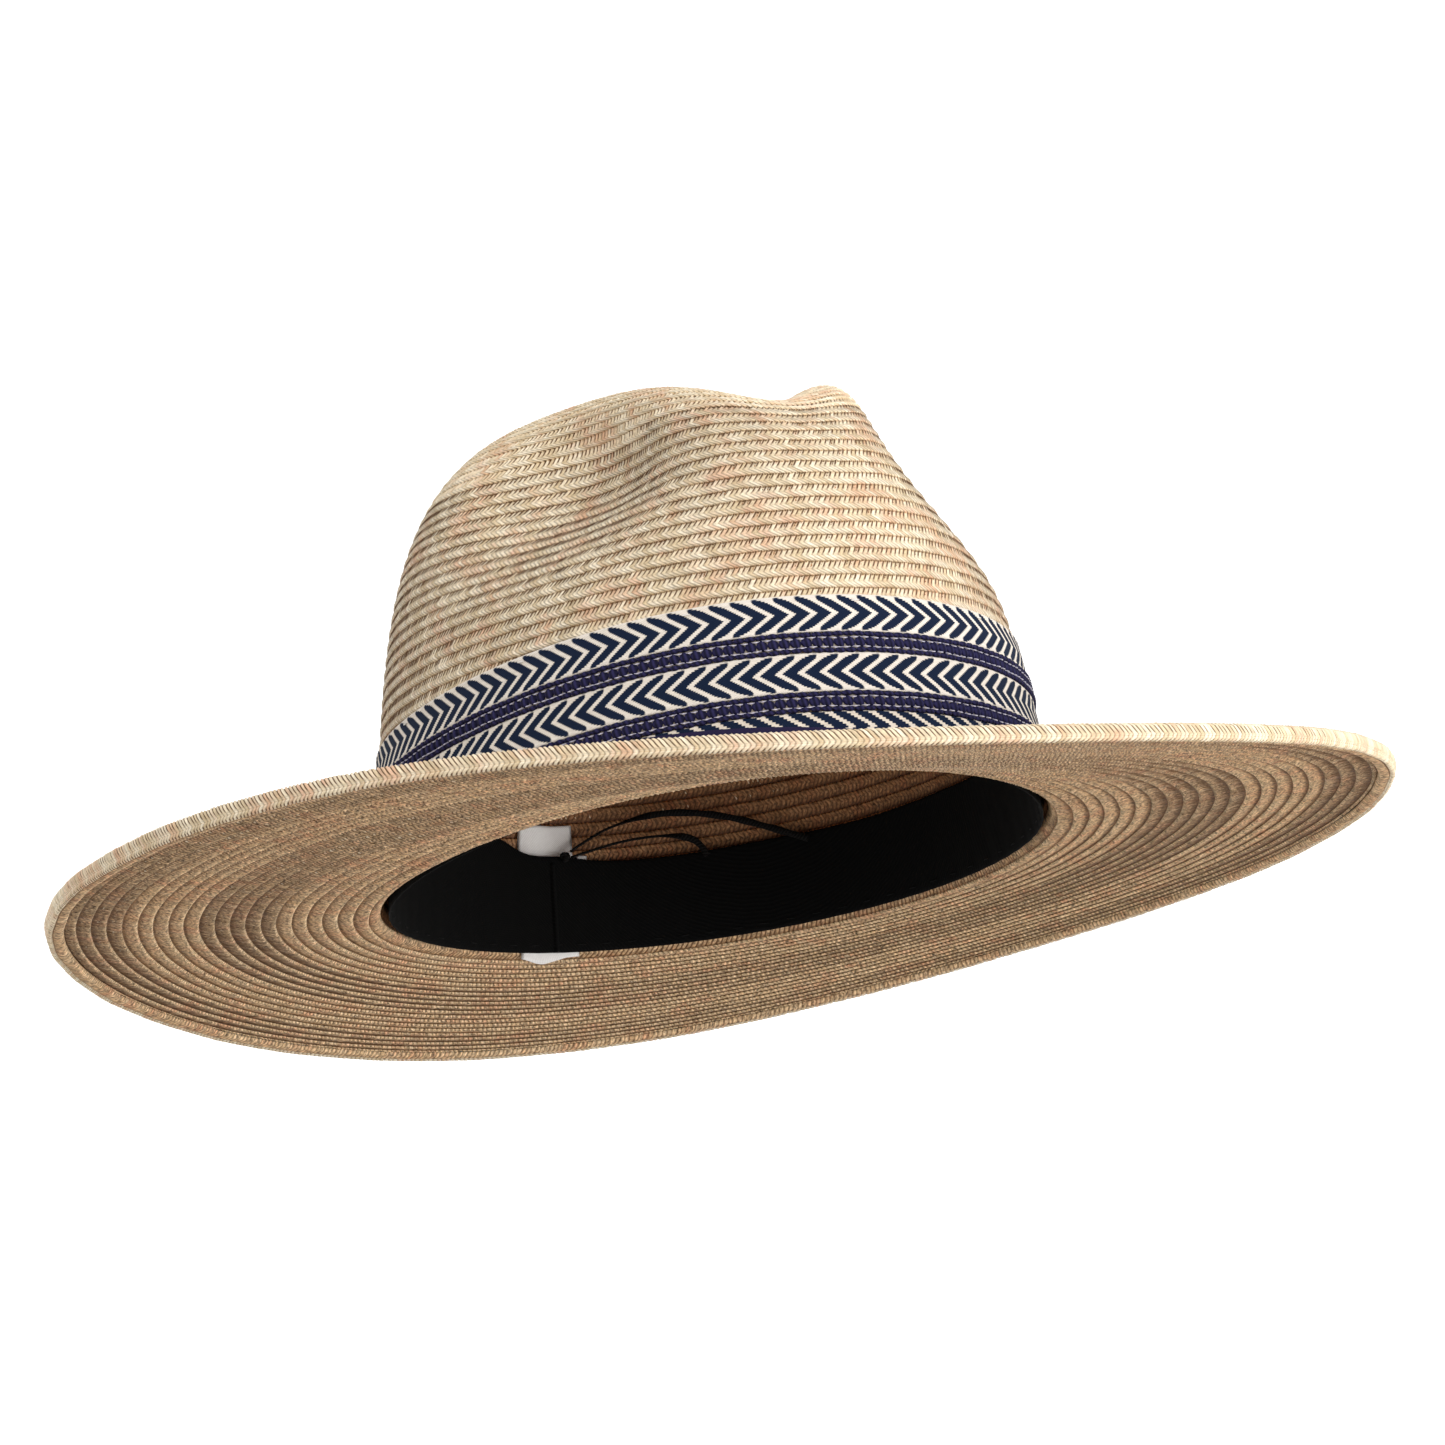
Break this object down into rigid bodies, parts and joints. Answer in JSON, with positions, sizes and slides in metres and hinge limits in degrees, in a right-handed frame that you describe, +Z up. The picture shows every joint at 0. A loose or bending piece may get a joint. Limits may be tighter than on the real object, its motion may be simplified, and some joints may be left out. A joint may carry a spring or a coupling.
{
  "type": "fedora hat",
  "caption": "Braided straw fedora with a creased and pinched crown, a wide rolled-edge brim, a chevron tape hat band, a black sweatband and its drawcord.",
  "frame": {"origin": "middle of the head opening, level with the foot of the crown", "axes": "+Z up through the crown, -Y the front of the hat, +X the wearer's left; the brim is longest front to back, along Y"},
  "size_m": [0.334, 0.3775, 0.1285],
  "materials": {
    "straw": "matte paper-straw braid",
    "cream_tape": "woven cotton tape with navy chevrons",
    "crochet_navy": "crocheted navy yarn",
    "navy_tape": "plain woven navy tape",
    "black_cloth": "black polyester-cotton sweatband cloth",
    "white_label": "white printed-label satin, blank",
    "black_cord": "flat waxed black cord",
    "thread_cream": "cream sewing thread",
    "thread_black": "black sewing thread",
    "spring_wire": "drawn spring steel wire",
    "sleeve_metal": "crimped aluminium sleeve"
  },
  "bodies": {
    "hat": {"crown_braid": "straw", "brim_braid": "straw", "brim_edge_binding": "straw", "brim_edge_wire": "spring_wire", "edge_wire_sleeve": "sleeve_metal", "chevron_tape_upper": "cream_tape", "crochet_trim_upper": "crochet_navy", "chevron_tape_lower": "cream_tape", "crochet_trim_lower": "crochet_navy", "chevron_tape_bottom": "cream_tape", "navy_edge_tape": "navy_tape", "band_keeper": "navy_tape", "band_tack_stitches": "thread_cream", "sweatband": "black_cloth", "sweatband_back_seam": "black_cloth", "sweatband_stitches": "thread_black", "care_label": "white_label", "size_label": "white_label", "drawcord_ring": "black_cord"},
    "drawcord_end": {"drawcord_knot": "black_cord", "drawcord_leg_left": "black_cord", "drawcord_leg_right": "black_cord", "drawcord_tail_long": "black_cord", "drawcord_tail_short": "black_cord"}
  },
  "joints": [
    {"name": "drawcord_pull", "type": "slide", "parent": "hat", "child": "drawcord_end", "axis": [0, -0.1476, 0.989], "range_m": [0, 0.015]}
  ]
}
